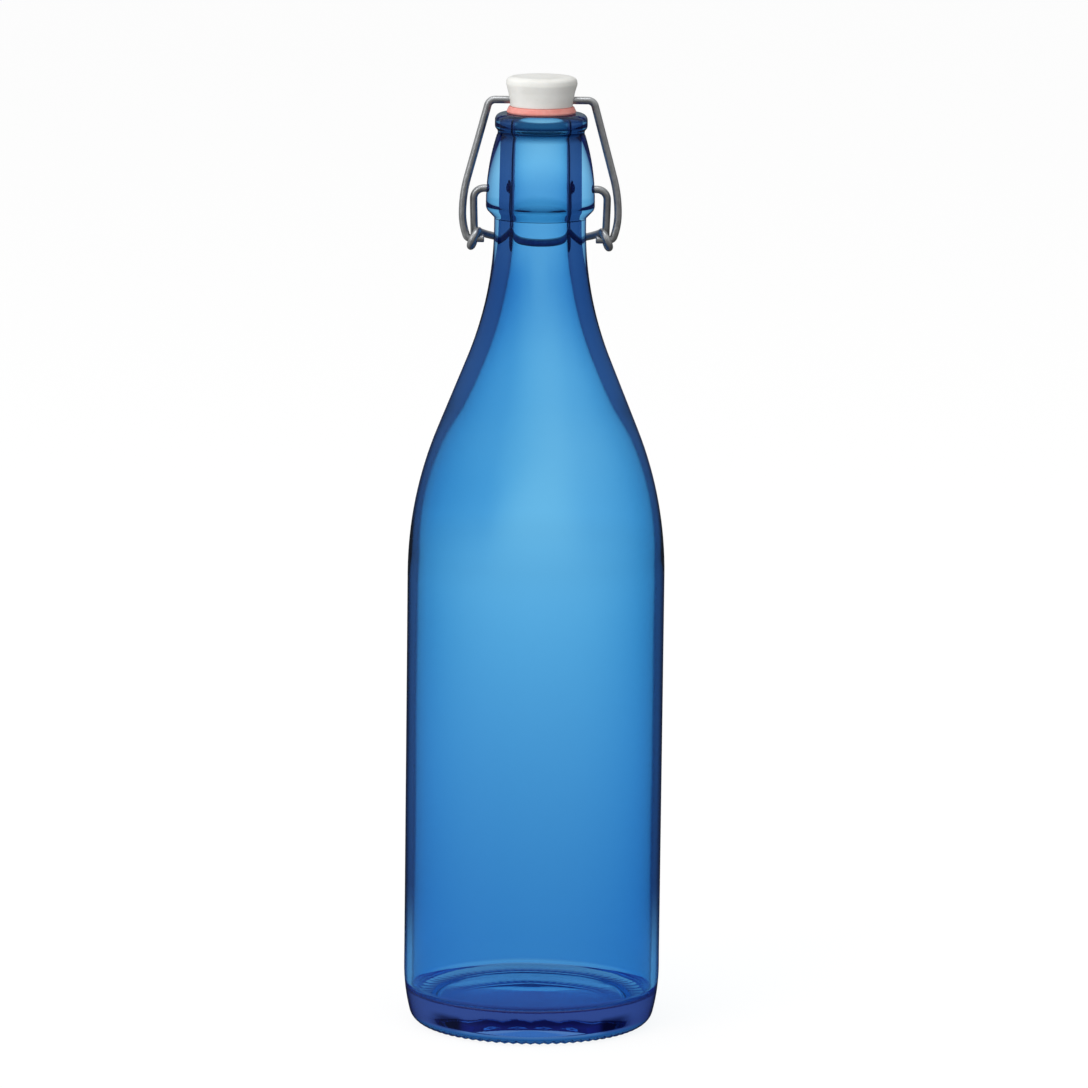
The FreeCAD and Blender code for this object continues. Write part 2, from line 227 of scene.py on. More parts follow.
def sweep(name, path, radius):
    """A round wire along a polyline that starts along X, with turned-down ends.

    UV map "Wire": U runs once around, V is the length along the wire in metres.
    """
    last = len(path) - 1
    tangents = [(path[min(i + 1, last)] - path[max(i - 1, 0)]).normalized()
                for i in range(last + 1)]
    up = Vector((0, 0, 1))
    normal = (up - tangents[0] * up.dot(tangents[0])).normalized()
    along = 0.0
    stations = []               # centre, normal, side, radius, length along
    for i, (centre, tangent) in enumerate(zip(path, tangents)):
        if i:
            along += (centre - path[i - 1]).length
            axis = tangents[i - 1].cross(tangent)
            if axis.length > 1e-9:
                turn = tangents[i - 1].angle(tangent)
                normal = Matrix.Rotation(turn, 3, axis.normalized()) @ normal
            normal = (normal - tangent * normal.dot(tangent)).normalized()
        stations.append((centre, normal.copy(), tangent.cross(normal), radius, along))

    def tip_rings(station, inward):
        centre, normal, side, _, place = station
        tangent = normal.cross(side)
        return [(centre + tangent * (inward * TIP * shift), normal, side, radius * share,
                 place + inward * TIP * shift) for shift, share in TIP_STEPS]

    middle = [s for s in stations if TIP * 1.3 < s[4] < along - TIP * 1.3]
    rings = tip_rings(stations[0], 1) + middle + tip_rings(stations[-1], -1)[::-1]
    verts, faces, uvs = [], [], []
    for centre, normal, side, ring_radius, _ in rings:
        for k in range(AROUND):
            a = 2 * math.pi * k / AROUND
            verts.append(centre + (normal * math.cos(a) + side * math.sin(a)) * ring_radius)
    for i in range(len(rings) - 1):
        v0, v1 = rings[i][4], rings[i + 1][4]
        near, far = i * AROUND, (i + 1) * AROUND
        for k in range(AROUND):
            j = (k + 1) % AROUND
            u0, u1 = k / AROUND, (k + 1) / AROUND
            faces.append((near + k, near + j, far + j, far + k))
            uvs.append([(u0, v0), (u1, v0), (u1, v1), (u0, v1)])
    start_pole, end_pole = len(verts), len(verts) + 1
    verts += [rings[0][0], rings[-1][0]]
    base = (len(rings) - 1) * AROUND
    for k in range(AROUND):
        j = (k + 1) % AROUND
        faces.append((start_pole, j, k))
        uvs.append([(0.5, 0.0)] * 3)
        faces.append((end_pole, base + k, base + j))
        uvs.append([(0.5, along)] * 3)
    obj = new_object(name, [tuple(v) for v in verts], faces, sharp_angle=50)
    layer = obj.data.uv_layers.new(name="Wire")
    layer.data.foreach_set("uv", [c for face in uvs for pair in face for c in pair])
    face_outward(obj)
    return obj


def cut(obj, cutters, sharp_angle):
    """Subtract the cutters for good, remove them and shade the result again."""
    for cutter in cutters:
        mod = obj.modifiers.new("cut", "BOOLEAN")
        mod.operation = "DIFFERENCE"
        mod.solver = "EXACT"
        mod.object = cutter
    depsgraph = bpy.context.evaluated_depsgraph_get()
    mesh = bpy.data.meshes.new_from_object(obj.evaluated_get(depsgraph), depsgraph=depsgraph)
    old = obj.data
    obj.modifiers.clear()
    obj.data = mesh
    mesh.name = old.name + "_cut"
    bpy.data.meshes.remove(old)
    for cutter in cutters:
        data = cutter.data
        bpy.data.objects.remove(cutter)
        bpy.data.meshes.remove(data)
    shade_smooth(mesh, sharp_angle)
    mesh.materials.clear()


def hand_over(obj, surface, piece, body):
    """Give the object its material and tell the frame what it replaces and rides on."""
    obj.data.materials.append(surface)
    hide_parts(piece)
    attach(obj, body)


# --------------------------------------------------------------------------
# shader nodes
# --------------------------------------------------------------------------
class Shader:
    """Builds a node tree. Inputs take values, sockets, or nodes (their first output)."""

    def __init__(self, tree):
        self.tree = tree
        tree.nodes.clear()

    def add(self, kind, inputs=None, **props):
        node = self.tree.nodes.new(kind)
        for key, value in props.items():
            setattr(node, key, value)
        for key, value in (inputs or {}).items():
            if isinstance(value, bpy.types.Node):
                value = value.outputs[0]
            if isinstance(value, bpy.types.NodeSocket):
                self.tree.links.new(value, node.inputs[key])
            else:
                node.inputs[key].default_value = value
        return node

    def math(self, operation, a, b=0.0):
        return self.add("ShaderNodeMath", {0: a, 1: b}, operation=operation).outputs[0]

    def invert(self, value):
        return self.math("SUBTRACT", 1.0, value)

    def product(self, first, *others):
        for other in others:
            first = self.math("MULTIPLY", first, other)
        return first

    def weighted_sum(self, first, second):
        """Sum of two (value, weight) pairs."""
        return self.math("ADD", self.product(*first), self.product(*second))

    def ramp(self, value, over, to=(0.0, 1.0), smooth=True):
        """Goes from to[0] to to[1] while value goes over[0] to over[1], clamped outside."""
        return self.add("ShaderNodeMapRange", {
            "Value": value, "From Min": over[0], "From Max": over[1],
            "To Min": to[0], "To Max": to[1]}, clamp=True,
            interpolation_type="SMOOTHSTEP" if smooth else "LINEAR").outputs["Result"]

    def fall(self, value, over):
        return self.ramp(value, over, to=(1.0, 0.0))

    def mix(self, factor, a, b, blend="MIX"):
        return self.add("ShaderNodeMix", {0: factor, 6: a, 7: b}, data_type="RGBA",
                        blend_type=blend).outputs[2]

    def noise(self, vector, scale, detail, roughness=0.5):
        return self.add("ShaderNodeTexNoise", {
            "Vector": vector, "Scale": scale, "Detail": detail,
            "Roughness": roughness}).outputs[0]

    def stretch(self, vector, scale):
        return self.add("ShaderNodeMapping", {"Vector": vector, "Scale": scale}).outputs[0]

    def bump(self, height, strength, distance):
        return self.add("ShaderNodeBump", {
            "Strength": strength, "Distance": distance, "Height": height}).outputs[0]

    def axes(self, vector):
        return self.add("ShaderNodeSeparateXYZ", {0: vector}).outputs

    def scaled(self, vector, factor):
        return self.add("ShaderNodeVectorMath", {0: vector, "Scale": factor},
                        operation="SCALE").outputs[0]

    def axis_distance(self, position):
        """Distance from the Z axis."""
        level = self.add("ShaderNodeVectorMath", {0: position, 1: (1.0, 1.0, 0.0)},
                         operation="MULTIPLY")
        return self.add("ShaderNodeVectorMath", {0: level}, operation="LENGTH").outputs["Value"]

    def object_position(self):
        return self.add("ShaderNodeTexCoord").outputs["Object"]


def material(name):
    mat = bpy.data.materials.new(name)
    mat.use_nodes = True
    return mat, Shader(mat.node_tree)


def surface_material(name, build):
    """A material whose Principled inputs come from build(shader)."""
    mat, t = material(name)
    bsdf = t.add("ShaderNodeBsdfPrincipled", build(t))
    t.add("ShaderNodeOutputMaterial", {"Surface": bsdf})
    return mat


def rgb(*channels):
    """sRGB 0-255 to linear."""
    def linear(c):
        c /= 255.0
        return c / 12.92 if c <= 0.04045 else ((c + 0.055) / 1.055) ** 2.4
    return tuple(linear(c) for c in channels) + (1.0,)


# --------------------------------------------------------------------------
# glass material: heights and radii in metres, colours linear
# --------------------------------------------------------------------------
GLASS_IOR = 1.52
WHITE = (1, 1, 1, 1)
FOOT_BLUE = (0.468, 0.755, 0.955, 1)
# start height, end height, smooth, colour from there up
BLUE_BY_HEIGHT = [
    (0.02, 0.13, False, (0.582, 0.842, 0.978, 1)),
    (0.13, 0.195, False, (0.672, 0.888, 0.985, 1)),
    (0.215, 0.250, True, (0.575, 0.812, 0.946, 1)),
    (0.276, 0.288, True, (0.685, 0.897, 0.998, 1)),
]
# the lip's glass is tinted paler, painted light that lightens the plug seen through it
LIP_BLUE = (0.90, 0.965, 0.99, 1)
BASE_FACE_BLUE = (0.97, 0.985, 1.0, 1)
# the heel: painted shade where light enters it, and painted light where light leaves it
HEEL_BOTTOM = (0.085, 0.21, 0.37, 1)
HEEL_SIDE = (0.085, 0.105, 0.29, 1)
HEEL_MIDDLE = (0.22, 0.30, 0.52, 1)
HEEL_WEDGE = (0.016, 0.020, 0.085, 1)
HEEL_LEAVING = (0.95, 0.98, 1.0, 1)
# painted shade: darker bands of the finish
SLOPING_BAND = (0.62, 0.82, 0.93, 1)
COLLAR_FOOT = (0.42, 0.70, 0.84, 1)
LIP_WAIST = (0.13, 0.33, 0.48, 1)
# slanting looks: low and high on the body, left and right of the shoulder, and a painted shade at
# the outline
SLANT_LOW, SLANT_HIGH = (0.76, 0.90, 0.975, 1), (0.62, 0.82, 0.91, 1)
SHOULDER_LEFT, SHOULDER_RIGHT = (0.66, 0.84, 0.935, 1), (0.86, 0.93, 0.975, 1)
OUTLINE = (0.20, 0.28, 0.45, 1)
# reflections, their strengths painted: inside the wall pale low and painted dark high, outside
# dimmed below and paler on the lip
INSIDE_LOW, INSIDE_HIGH = (0.62, 0.78, 0.92, 1), (0.085, 0.150, 0.32, 1)
OUTSIDE_BODY, OUTSIDE_LIP = (0.20, 0.26, 0.36, 1), (0.62, 0.78, 0.90, 1)
SHADOW_TINT = (0.90, 0.965, 0.99, 1.0)
# absorption of red, green and blue per metre, and a painted glow inside the glass that stands in
# for light scattered there
ABSORPTION = (12.0, 5.0, 2.0)
PAINTED_GLOW_COLOUR, PAINTED_GLOW_STRENGTH = (0.22, 0.20, 1.0, 1), 1.8


def heel_mix(t, tint, position, x, height, backfacing):
    """The heel is looked through lengthways: painted shade where light enters its outside, painted
    light where it leaves.
    """
    heel = t.fall(height, over=(0.0120, 0.0150))
    slope = 0.36                # outward lean of the mask's edge, radius per height
    outside = t.math("SUBTRACT", t.axis_distance(position), t.product(height, slope))
    heel = t.product(heel, t.ramp(outside, over=(0.0355, 0.0361)))
    # painted light and shade: paler in the middle of the foot, darkest a little to either side of
    # it
    across = t.math("ABSOLUTE", x)
    wedge = t.product(t.ramp(across, over=(0.0220, 0.0245)), t.fall(across, over=(0.0285, 0.0345)),
                      t.ramp(height, over=(0.0034, 0.0046)), t.fall(height, over=(0.0072, 0.0094)))
    middle = t.product(t.fall(across, over=(0.0205, 0.0260)),
                       t.fall(height, over=(0.0062, 0.0082)))
    side = t.mix(middle, HEEL_SIDE, HEEL_MIDDLE)
    side = t.mix(wedge, side, HEEL_WEDGE)
    enter = t.mix(t.ramp(height, over=(0.0022, 0.0042)), HEEL_BOTTOM, side)
    leave = t.mix(t.ramp(height, over=(0.0060, 0.0090)), HEEL_LEAVING, tint)
    return t.mix(heel, tint, t.mix(backfacing, enter, leave))


def finish_mix(t, tint, tilt, height):
    """Sloping rings of the finish are painted as soft darker bands, a painted shade."""
    band = t.product(t.ramp(tilt, over=(0.10, 0.45)), t.ramp(height, over=(0.262, 0.266)))
    tint = t.mix(band, tint, SLOPING_BAND)
    for rise, fall, colour in (((0.2696, 0.2708), (0.2736, 0.2750), COLLAR_FOOT),
                               ((0.2950, 0.2974), (0.2996, 0.3006), LIP_WAIST)):
        ring = t.product(t.ramp(height, over=rise), t.fall(height, over=fall))
        tint = t.mix(ring, tint, colour)
    return tint


def slant_tint(t, x, height, level, facing, backfacing):
    """A slanting look crosses more colour, so the sides read deeper than the middle."""
    slant = t.product(t.ramp(facing, over=(0.0, 0.5), smooth=False), t.invert(backfacing))
    full = t.mix(t.ramp(height, over=(0.080, 0.150)), SLANT_LOW, SLANT_HIGH)
    deep = t.mix(slant, WHITE, full)
    # the shoulder's tint is a little deeper towards the left
    shoulder = t.product(t.ramp(level, over=(0.148, 0.180)), t.fall(height, over=(0.248, 0.262)),
                         t.ramp(facing, over=(0.0, 0.11)), t.invert(backfacing))
    side = t.mix(t.ramp(x, over=(-0.008, 0.008)), SHOULDER_LEFT, SHOULDER_RIGHT)
    deep = t.mix(shoulder, deep, side, blend="MULTIPLY")
    # painted shade: the outline is darkened further
    outline = t.product(t.ramp(facing, over=(0.75, 0.86)), t.invert(backfacing))
    return t.mix(outline, deep, OUTLINE)


def glass_material():
    mat, t = material("blue_bottle_glass")
    position = t.object_position()
    x, _, height = t.axes(position)
    # long, very shallow ripples down the wall, with a fine grain
    drawn_out = t.stretch(position, scale=(1.0, 1.0, 0.16))
    ripple = t.noise(drawn_out, scale=60.0, detail=2.0, roughness=0.45)
    grain = t.noise(position, scale=900.0, detail=1.0)
    bump = t.bump(t.weighted_sum((ripple, 1.0), (grain, 0.02)), strength=0.10, distance=0.0006)
    # faint dulling from handling
    rub = t.noise(position, scale=240.0, detail=4.0)
    rough = t.ramp(rub, over=(0.45, 0.8), to=(0.0, 0.02))
    # the blue deepens towards the foot, its heights shifted by a faint cloudiness
    cloud = t.noise(drawn_out, scale=22.0, detail=2.0)
    cloud_shift = 0.02
    level = t.math("ADD", height, t.product(t.math("SUBTRACT", cloud, 0.5), cloud_shift))
    tint = FOOT_BLUE
    for start, end, smooth, colour in BLUE_BY_HEIGHT:
        tint = t.mix(t.ramp(level, over=(start, end), smooth=smooth), tint, colour)
    # paler at the lip: painted light on the plug seen through the bead
    tint = t.mix(t.ramp(height, over=(0.2985, 0.3005)), tint, LIP_BLUE)
    geometry = t.add("ShaderNodeNewGeometry")
    backfacing = geometry.outputs["Backfacing"]
    tilt = t.math("ABSOLUTE", t.axes(geometry.outputs["Normal"])[2])
    # the flat faces of the base add little colour of their own
    base_face = t.product(t.ramp(tilt, over=(0.5, 0.9)), t.fall(height, over=(0.0121, 0.0130)))
    tint = t.mix(base_face, tint, BASE_FACE_BLUE)
    tint = heel_mix(t, tint, position, x, height, backfacing)
    tint = finish_mix(t, tint, tilt, height)
    weight = t.add("ShaderNodeLayerWeight", {"Blend": 0.5, "Normal": bump})
    deep = slant_tint(t, x, height, level, weight.outputs["Facing"], backfacing)
    # light crossing a face takes the tint
    through = t.add("ShaderNodeBsdfRefraction", {
        "Color": t.mix(1.0, tint, deep, blend="MULTIPLY"), "Roughness": rough,
        "IOR": GLASS_IOR, "Normal": bump})
    # light thrown back inside the wall is painted much darker above the foot, a painted shade
    inner = t.mix(t.ramp(height, over=(0.020, 0.050)), INSIDE_LOW, INSIDE_HIGH)
    inner = t.mix(base_face, inner, WHITE)
    # painted reflection strength: dim outside on the body, paler on the lip
    outer = t.mix(t.ramp(height, over=(0.3005, 0.3035)), OUTSIDE_BODY, OUTSIDE_LIP)
    shine = t.add("ShaderNodeBsdfGlossy", {
        "Color": t.mix(backfacing, outer, inner), "Roughness": rough, "Normal": bump})
    fresnel = t.add("ShaderNodeFresnel", {"IOR": GLASS_IOR, "Normal": bump})
    glass = t.add("ShaderNodeMixShader", {0: fresnel, 1: through, 2: shine})
    # shadow rays pass straight through
    rays = t.add("ShaderNodeLightPath")
    clear = t.add("ShaderNodeBsdfTransparent", {"Color": SHADOW_TINT})
    surface = t.add("ShaderNodeMixShader", {
        0: rays.outputs["Is Shadow Ray"], 1: glass, 2: clear})
    # a little denser than the strongest absorption, so no channel of the colour reaches 0
    density = max(ABSORPTION) * 1.02
    absorb = t.add("ShaderNodeVolumeAbsorption", {
        "Color": tuple(1.0 - s / density for s in ABSORPTION) + (1.0,), "Density": density})
    # painted light: the glass glows faintly from inside
    painted_glow = t.add("ShaderNodeEmission", {"Color": PAINTED_GLOW_COLOUR, "Strength": PAINTED_GLOW_STRENGTH})
    volume = t.add("ShaderNodeAddShader", {0: absorb, 1: painted_glow})
    t.add("ShaderNodeOutputMaterial", {"Surface": surface, "Volume": volume})
    return mat


# --------------------------------------------------------------------------
# stopper, gasket and wire materials
# --------------------------------------------------------------------------
def stopper_surface(t):
    """Off-white, softly clouded and specked, with a fine orange-peel surface."""
    shade, light, fleck = rgb(232, 232, 227), rgb(240, 240, 236), rgb(214, 213, 206)
    position = t.object_position()
    cloud = t.noise(position, scale=160.0, detail=3.0)
    speck = t.noise(position, scale=2600.0, detail=2.0)
    colour = t.mix(t.ramp(cloud, over=(0.3, 0.7)), shade, light)
    colour = t.mix(t.ramp(speck, over=(0.66, 0.74), to=(0.0, 0.35)), colour, fleck)
    peel = t.noise(position, scale=1400.0, detail=1.5)
    return {
        "Base Color": colour, "Roughness": t.ramp(cloud, over=(0.25, 0.75), to=(0.30, 0.40)),
        "IOR": 1.5, "Normal": t.bump(peel, strength=0.12, distance=0.00006),
        "Subsurface Weight": 0.12, "Subsurface Radius": (1.0, 0.9, 0.8),
        "Subsurface Scale": 0.0012}


def gasket_surface(t):
    """Coral rubber with pale dust."""
    shade, light, pale = rgb(236, 148, 138), rgb(244, 164, 154), rgb(244, 186, 172)
    position = t.object_position()
    cloud = t.noise(position, scale=420.0, detail=3.0)
    dust = t.noise(position, scale=3000.0, detail=2.0)
    colour = t.mix(t.ramp(cloud, over=(0.3, 0.7)), shade, light)
    colour = t.mix(t.ramp(dust, over=(0.62, 0.8), to=(0.0, 0.4)), colour, pale)
    return {
        "Base Color": colour, "Roughness": t.ramp(cloud, over=(0.2, 0.8), to=(0.5, 0.68)),
        "IOR": 1.45, "Normal": t.bump(dust, strength=0.35, distance=0.00008),
        "Subsurface Weight": 0.2, "Subsurface Radius": (1.0, 0.45, 0.35),
        "Subsurface Scale": 0.0015}


def wire_surface(t):
    """Galvanised metal, with drawing lines, patches and nicks."""
    dark, light, worn = (0.38, 0.39, 0.40, 1), (0.46, 0.47, 0.48, 1), (0.34, 0.34, 0.34, 1)
    coord = t.add("ShaderNodeTexCoord")
    position = coord.outputs["Object"]
    # U goes once around and V is in metres, so the lines run along the wire
    lines = t.stretch(coord.outputs["UV"], scale=(46.0, 60.0, 1.0))
    drawn = t.noise(lines, scale=1.0, detail=3.0, roughness=0.6)
    patch = t.noise(position, scale=700.0, detail=3.0)
    nick = t.noise(position, scale=2400.0, detail=2.0)
    colour = t.mix(t.ramp(patch, over=(0.3, 0.72)), dark, light)
    colour = t.mix(t.ramp(nick, over=(0.66, 0.80), to=(0.0, 0.25)), colour, worn)
    rough = t.math("ADD", t.ramp(drawn, over=(0.3, 0.7), to=(0.34, 0.42)),
                   t.ramp(patch, over=(0.4, 0.8), to=(0.0, 0.10)))
    height = t.weighted_sum((drawn, 0.6), (patch, 0.5))
    return {"Base Color": colour, "Metallic": 1.0, "Roughness": rough,
            "Normal": t.bump(height, strength=0.05, distance=0.00004)}


# --------------------------------------------------------------------------
# glass bottle
# --------------------------------------------------------------------------
# (r, z) in mm, then pieces and bend as in trace(); from the middle of the underside outwards
# and up to the mouth
OUTSIDE = [
    (0, 3.0), (31.5, 1.1, 14), (34.0, 0.0, 6, 4.4), (35.42, 0.0, 2), (40.60, 4.0, 10, 5.36),
    (42.5, 19.0, 8, 60.2), (42.5, 151.36, 26), (33.17, 199.40, 16, 128.31), (23.62, 223.05, 6),
    (15.1, 266.9, 18, -117.1), (15.1, 269.2, 2), (15.6, 270.3, 4, -1.2), (17.15, 271.9, 2),
    (17.87, 273.7, 5, 2.6), (17.87, 275.2, 1), (14.55, 296.9, 14, 72.8),
    (14.65, 298.9, 7, -1.6), (15.2, 300.2, 5, 1.6), (15.2, 301.9, 3), (13.0, 304.1, 10, 2.2),
    (9.9, 304.1, 3), (8.9, 303.1, 6, 1.0),
]
# the same columns, from the mouth down to the middle of the floor
INSIDE = [
    OUTSIDE[-1][:2], (8.9, 267.93, 8), (26.34, 206.22, 24, 117.9), (40.0, 157.5, 22, -93.3),
    (40.0, 14.4, 24), (36.9, 11.2, 12, -3.2), (0, 11.9, 12),
]
OUTSIDE_POINTS = trace(OUTSIDE)
# (r, z) in mm of the cutter for a stepped round pocket that widens outwards
POCKET = [(0, 13.6), (1.02, 13.6), (WIRE_HOLE, 13.95), (WIRE_HOLE, 16.7), (1.75, 17.3),
          (2.9, 19.4), (0, 19.4)]

# short radial ribs under the heel, in metres
KNURLS = 80
KNURL_TOP = 0.0030              # height at which they have faded out
KNURL_START, KNURL_RUN_IN = 0.0330, 0.0012
KNURL_IN, KNURL_UP = 0.00022, 0.00042


def glass_shape(i, a, r, z):
    """Knurling and slight unevenness of the wall, all in metres."""
    if i < len(OUTSIDE_POINTS):
        if 0.0300 < r < 0.0395 and z < KNURL_TOP:
            fade = max(0.0, 1.0 - z / KNURL_TOP)
            run_in = min(1.0, max(0.0, (r - KNURL_START) / KNURL_RUN_IN))
            wave = 0.5 - 0.5 * math.cos(KNURLS * a)
            return r - KNURL_IN * wave * fade * run_in, z + KNURL_UP * wave * fade * run_in
        # slight sway of the outside
        sway = noise.noise(Vector((math.cos(a) * 1.3, math.sin(a) * 1.3, z * 14.0)))
        return r - (0.00002 * (1.0 - sway) if 0.02 < z < 0.26 else 0.0), z
    # the inside is uneven, more so along the body and neck
    broad = noise.noise(Vector((math.cos(a) * 1.1 + 4, math.sin(a) * 1.1, z * 9.0)))
    fine = noise.noise(Vector((math.cos(a) * 3.2, math.sin(a) * 3.2 + 7, z * 30.0)))
    amount = 0.00011 if 0.03 < z < 0.25 else 0.00003
    return r + amount * broad + amount * 0.25 * fine, z


def cross_cutter(profile, centre, side=1):
    """A turned cutter of (r, x) in mm laid along X; side -1 points it towards -X."""
    cutter = lathe("cutter", metres(profile), 48)
    turn = Matrix.Rotation(math.radians(90 * side), 4, "Y")
    cutter.data.transform(Matrix.Translation(centre) @ turn)
    return cutter


def build_bottle(surface):
    glass = lathe("bottle_glass", metres(OUTSIDE_POINTS + trace(INSIDE)[1:]), 320, glass_shape)
    centre = (0, 0, LEVER_PIVOT.z)
    cut(glass, [cross_cutter(POCKET, centre, side) for side in (1, -1)], sharp_angle=38)
    hand_over(glass, surface, "glass_bottle", "bottle")


# --------------------------------------------------------------------------
# stopper and gasket
# --------------------------------------------------------------------------
# r, z, corner radius in mm, from the plug's underside to the top
CAP = [
    (0, 301.4, 0), (6.6, 301.4, 0.3), (7.3, 302.2, 0.5), (7.3, 304.1, 0.3), (6.0, 304.1, 0),
    (6.0, 306.4, 0), (10.22, 306.4, 0.35), (10.40, 308.2, 3.0), (10.95, 311.2, 4.0),
    (11.74, 313.8, 1.6), (11.45, 315.6, 1.5), (9.7, 316.22, 2.5), (0, 316.5, 0),
]
BORE_HALF = 14                  # mm, more than the cap's radius
# the same columns, once round the section
RING = [
    (6.05, 304.9, 0), (6.05, 304.22, 0), (6.5, 304.16, 0.15), (11.15, 304.16, 0.3),
    (11.5, 304.75, 0.3), (10.72, 306.36, 0.35), (6.3, 306.4, 0.1), (6.05, 306.2, 0),
]


def build_cap(surface):
    profile = densify(metres(rounded(CAP, 6)), 0.9 * MM)
    cap = lathe("stopper_button", profile, 160, sharp_angle=40)
    bore = [(0, -BORE_HALF), (WIRE_HOLE, -BORE_HALF), (WIRE_HOLE, BORE_HALF), (0, BORE_HALF)]
    cut(cap, [cross_cutter(bore, STOPPER_PIVOT)], sharp_angle=40)
    hand_over(cap, surface, "stopper_cap", "stopper")


def ring_shape(i, a, r, z):
    """A slight waver of the outer edge, in metres."""
    waver = noise.noise(Vector((math.cos(a) * 2.0, math.sin(a) * 2.0, 3.0)))
    return (r - 0.00004 * (1 + waver), z) if r > 0.0102 else (r, z)


def build_ring(surface):
    section = rounded(RING + RING[:1], 5)[:-1]
    ring = lathe("gasket_ring", densify(metres(section), 0.5 * MM), 160, ring_shape,
                 closed=True, sharp_angle=60)
    hand_over(ring, surface, "sealing_gasket", "stopper")


# --------------------------------------------------------------------------
# bail wire
# --------------------------------------------------------------------------
BAIL_HEIGHT = (STOPPER_PIVOT - BAIL_PIVOT).length / MM
# (x, distance up from the bail pivot) in mm, then pieces and bend as in trace()
BAIL_LEFT = [
    (-18.3, 0.0), (-22.70, 0.0, 8), (-24.205, 1.06, 12, -1.6), (-25.5, 8.5, 10, -22.0),
    (-23.946, 20.22, 14, -45.0), (-17.56, 43.885, 22), (-15.15, BAIL_HEIGHT, 12, -2.5),
]


def build_bail(surface):
    left = trace(BAIL_LEFT)
    right = [(-x, z) for x, z in left[::-1]]
    outline = left + divided(left[-1], right[0], 16)[:-1] + right
    up = (STOPPER_PIVOT - BAIL_PIVOT).normalized()
    path = [BAIL_PIVOT + Vector((x * MM, 0, 0)) + up * (z * MM) for x, z in outline]
    bail = sweep("bail", path, WIRE_RADIUS)
    hand_over(bail, surface, "bail_wire", "bail")
    return bail


# --------------------------------------------------------------------------
# lever wire, in mm from the lever pivot
# --------------------------------------------------------------------------
PIN_START = 13.75               # x of the wire's end
ARM_TOP, ARM_LOW = 21.9, 21.6   # x of the arm after the pin's bend and at the coil
BEND = 3.4                      # radius of the bend from pin to arm
COIL = 2.57                     # radius of the coil around the bail pivot
COIL_BOW = 1.8                  # how far the coil swells along x halfway
COIL_END = 20.2                 # x where the coil meets the loop
SLOPE = 0.30                    # fall of the loop per mm of y
COIL_FROM, COIL_TO = math.radians(8.0), -math.pi * 1.5 - math.atan(SLOPE)
# x, y of one side of the loop, out to its far point
LOOP = [(19.80, 1.7), (19.05, 3.4), (17.70, 5.9), (15.90, 8.5), (13.50, 11.1), (10.45, 13.55),
        (6.95, 15.5), (3.4, 16.65), (0, 17.0)]


def mirrored(points):
    """The points reflected in x, in reverse order."""
    return [Vector((-p.x, p.y, p.z)) for p in points[::-1]]


def clamped_spline(knots, start_slope, end_slope, step):
    """C2 cubic through knots, chord-length parameters, with end directions."""
    points = np.array([tuple(v) for v in knots])
    spans = np.linalg.norm(np.diff(points, axis=0), axis=1)
    count = len(points)
    system = np.zeros((count, count))
    target = np.zeros((count, 3))
    system[0, 0] = system[-1, -1] = 1.0
    target[0], target[-1] = np.array(start_slope), np.array(end_slope)
    for i in range(1, count - 1):
        before, after = spans[i - 1], spans[i]
        system[i, i - 1], system[i, i], system[i, i + 1] = after, 2 * (before + after), before
        target[i] = 3 * (after * (points[i] - points[i - 1]) / before
                         + before * (points[i + 1] - points[i]) / after)
    slopes = np.linalg.solve(system, target)
    out = []
    for i, span in enumerate(spans):
        pieces = max(2, int(math.ceil(span / step)))
        for k in range(pieces):
            u = k / pieces
            out.append(Vector((2 * u ** 3 - 3 * u ** 2 + 1) * points[i]
                              + (u ** 3 - 2 * u ** 2 + u) * span * slopes[i]
                              + (-2 * u ** 3 + 3 * u ** 2) * points[i + 1]
                              + (u ** 3 - u ** 2) * span * slopes[i + 1]))
    out.append(Vector(points[-1]))
    return out


def coil_knots():
    axis = (BAIL_PIVOT - LEVER_PIVOT) / MM
    knots = []
    for i in range(23):
        s = i / 22
        angle = COIL_FROM + (COIL_TO - COIL_FROM) * s
        x = ARM_LOW + (COIL_END - ARM_LOW) * smoothstep(s)
        x += COIL_BOW * math.sin(math.pi * s) ** 2
        knots.append(Vector((x, axis.y + COIL * math.cos(angle),
                             axis.z + COIL * math.sin(angle))))
    return knots


def build_lever(surface):
    coil = coil_knots()
    first, last = coil[0], coil[-1]
    arm_way = first - Vector((ARM_TOP, 0, -BEND))
    arm_way.x = 0.0
    arm_way.normalize()
    # the pin runs out along x and bends a quarter turn into the arm
    bend_x = ARM_TOP - BEND
    bend_end = Vector((ARM_TOP, 0, 0)) + arm_way * BEND
    pin = [Vector((PIN_START + (bend_x - PIN_START) * i / 8, 0, 0)) for i in range(8)]
    centre = Vector((bend_x, 0, 0)) + arm_way * BEND
    bend = [centre + (-arm_way * math.cos(a) + Vector((1, 0, 0)) * math.sin(a)) * BEND
            for a in [math.pi / 2 * i / 14 for i in range(14)]]
    # arm, coil and loop are one spline
    arm = []
    for s in (0.34, 0.67):
        knot = bend_end + (first - bend_end) * s
        knot.x = bend_end.x + (first.x - bend_end.x) * smoothstep(s)
        arm.append(knot)
    loop = [Vector((x, y, last.z - SLOPE * (y - last.y))) for x, y in LOOP]
    side = [bend_end] + arm + coil + loop
    core = clamped_spline(side + mirrored(side[:-1]), arm_way, -arm_way, step=0.45)
    line = pin + bend + core + mirrored(pin + bend)
    lever = sweep("lever", [LEVER_PIVOT + p * MM for p in line], WIRE_RADIUS)
    hand_over(lever, surface, "lever_wire", "lever")
    return lever


# --------------------------------------------------------------------------
# studio: a pale floor under a light field that turns with the camera
# --------------------------------------------------------------------------
BACKDROP = (0.985, 0.985, 0.985, 1)
FIELD_EDGE = (0.34, 0.19, 0.36, 1)      # seen through the glass, away from the line of sight
# painted shadow on the floor under the foot, seen through the glass
FOOT_SHADE = (0.26, 0.15, 0.34, 1)      # floor under the foot, seen through the glass


